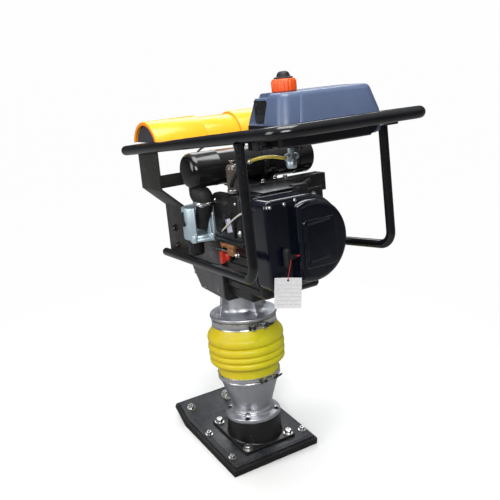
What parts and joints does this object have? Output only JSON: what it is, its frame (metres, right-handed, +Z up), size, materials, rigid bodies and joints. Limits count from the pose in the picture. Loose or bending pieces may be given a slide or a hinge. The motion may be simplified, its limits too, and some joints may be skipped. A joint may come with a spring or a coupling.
{
  "type": "jumping jack rammer",
  "caption": "Petrol tamping rammer: flat kick-up shoe, bellowed spring leg, crankcase with small engine, tube handle loop with tank and bumper.",
  "frame": {"origin": "on the floor under the sole, where the leg's axis meets it", "axes": "+Z up, +Y forward (the way it travels, the shoe's kicked-up end), +X to the operator's right"},
  "size_m": [0.424, 0.7873, 1.1131],
  "materials": {
    "black_paint": "gloss black",
    "satin_black": "satin black",
    "grey_paint": "satin dark grey",
    "rubber": "matt",
    "aluminium": "cast, satin",
    "steel": "machined",
    "carburettor_metal": "cast, pale",
    "yellow_boot": "satin yellow",
    "yellow_hood": "glossy yellow-orange",
    "slate_plastic": "satin slate",
    "orange_plastic": "satin orange",
    "red_plastic": "satin red",
    "gloss_black": "glossy blue-black",
    "clear_plastic": "smoky clear",
    "hose_plastic": "translucent yellow",
    "paper": "matt white card",
    "red_string": "twisted string"
  },
  "bodies": {
    "foot": {"shoe_board": "rubber", "shoe_plate": "satin_black", "foot_casting": "satin_black", "foot_bolt_front_left": "steel", "foot_bolt_front_right": "steel", "foot_bolt_rear_left": "steel", "foot_bolt_rear_right": "steel", "cone_sleeve": "aluminium", "spring_cylinder": "steel", "lower_spring": "steel", "upper_spring": "steel", "piston_rod": "steel", "wrist_pin": "steel", "bellows": "yellow_boot", "lower_band_clamp": "steel"},
    "connecting_rod": {"connecting_rod": "steel"},
    "housing": {"guide_cylinder": "aluminium", "upper_band_clamp": "steel", "crankcase": "grey_paint", "crankcase_cover": "satin_black", "engine_block": "satin_black", "cylinder_head": "aluminium", "spark_plug": "steel", "cylinder_shroud": "satin_black", "fan_shroud": "gloss_black", "starter_cover": "gloss_black", "muffler": "steel", "carburettor": "carburettor_metal", "float_bowl": "rubber", "intake_elbow": "rubber", "air_cleaner_body": "satin_black", "air_cleaner_cap": "satin_black", "channel_bracket": "satin_black", "fuel_filter": "clear_plastic", "fuel_cock": "carburettor_metal", "fuel_hose": "hose_plastic", "fuel_tank": "slate_plastic", "handle_loop": "black_paint", "guard_left": "black_paint", "guard_right": "black_paint", "front_frame": "black_paint", "rubber_mount_left": "rubber", "rubber_mount_right": "rubber", "bumper_hood": "yellow_hood", "throttle_cable": "rubber"},
    "crank_gear": {"crank_gear": "steel"},
    "clutch_drum": {"clutch_drum": "steel"},
    "crankshaft": {"crankshaft": "steel", "flywheel": "aluminium"},
    "starter_pulley": {"starter_pulley": "rubber"},
    "starter_grip": {"starter_grip": "rubber"},
    "stop_button": {"stop_button": "red_plastic"},
    "governor_lever": {"governor_lever": "steel"},
    "choke_lever": {"choke_lever": "steel"},
    "oil_cap": {"oil_cap": "red_plastic"},
    "fuel_cock_lever": {"fuel_cock_lever": "carburettor_metal"},
    "tank_cap": {"tank_cap": "orange_plastic"},
    "throttle_lever": {"throttle_lever": "rubber"},
    "hang_tag": {"hang_tag": "paper", "tag_string": "red_string"}
  },
  "joints": [
    {"name": "ram_slide", "type": "slide", "parent": "foot", "child": "housing", "axis": [0, 0.1643, 0.9864], "range_m": [0, 0.065], "deforming": ["bellows"]},
    {"name": "rod_swing", "type": "hinge", "parent": "foot", "child": "connecting_rod", "pos_m": [0, 0.07999, 0.48039], "axis": [0, 0.9864, -0.1643], "range_deg": [-16, 16]},
    {"name": "gear_spin", "type": "hinge", "parent": "housing", "child": "crank_gear", "pos_m": [0, 0.09362, 0.56226], "axis": [0, 0.9864, -0.1643], "continuous": true},
    {"name": "drum_spin", "type": "hinge", "parent": "housing", "child": "clutch_drum", "pos_m": [0, 0.10831, 0.65044], "axis": [0, 0.9864, -0.1643], "continuous": true},
    {"name": "crankshaft_spin", "type": "hinge", "parent": "housing", "child": "crankshaft", "pos_m": [0, 0.00967, 0.66687], "axis": [0, 0.9864, -0.1643], "continuous": true},
    {"name": "starter_pull", "type": "slide", "parent": "housing", "child": "starter_grip", "axis": [-1, 0, 0], "range_m": [0, 0.095], "stiffness_N_per_m": 20, "springref_m": -0.1},
    {"name": "pulley_spin", "type": "hinge", "parent": "housing", "child": "starter_pulley", "pos_m": [0, -0.23053, 0.70686], "axis": [0, 0.9864, -0.1643], "range_deg": [-1, 192]},
    {"name": "stop_press", "type": "slide", "parent": "housing", "child": "stop_button", "axis": [-1, 0, 0], "range_m": [0, 0.003], "stiffness_N_per_m": 300, "springref_m": -0.002},
    {"name": "governor_swing", "type": "hinge", "parent": "housing", "child": "governor_lever", "pos_m": [-0.1315, -0.03545, 0.70033], "axis": [1, 0, 0], "range_deg": [-12, 12]},
    {"name": "choke_turn", "type": "hinge", "parent": "housing", "child": "choke_lever", "pos_m": [-0.179, 0.06072, 0.69953], "axis": [1, 0, 0], "range_deg": [0, 70]},
    {"name": "oil_cap_turn", "type": "hinge", "parent": "housing", "child": "oil_cap", "pos_m": [-0.0864, -0.01291, 0.61649], "axis": [1, 0, 0], "range_deg": [0, 90]},
    {"name": "cock_turn", "type": "hinge", "parent": "housing", "child": "fuel_cock_lever", "pos_m": [-0.047, -0.22734, 0.91781], "axis": [0, 0.9864, -0.1643], "range_deg": [0, 90]},
    {"name": "cap_turn", "type": "hinge", "parent": "housing", "child": "tank_cap", "pos_m": [-0.092, -0.25156, 1.07066], "axis": [0, 0.1643, 0.9864], "range_deg": [0, 180]},
    {"name": "throttle_swing", "type": "hinge", "parent": "housing", "child": "throttle_lever", "pos_m": [0.156, -0.14442, 0.95913], "axis": [1, 0, 0], "range_deg": [0, 60]},
    {"name": "tag_swing", "type": "hinge", "parent": "starter_grip", "child": "hang_tag", "pos_m": [-0.066, -0.2505, 0.6813], "axis": [0.848, -0.5299, 0], "range_deg": [-35, 1]}
  ],
  "couplings": [
    {"joint": "drum_spin", "follows": "gear_spin", "ratio": -4},
    {"joint": "pulley_spin", "follows": "starter_pull", "rad_per_m": 35.088}
  ]
}
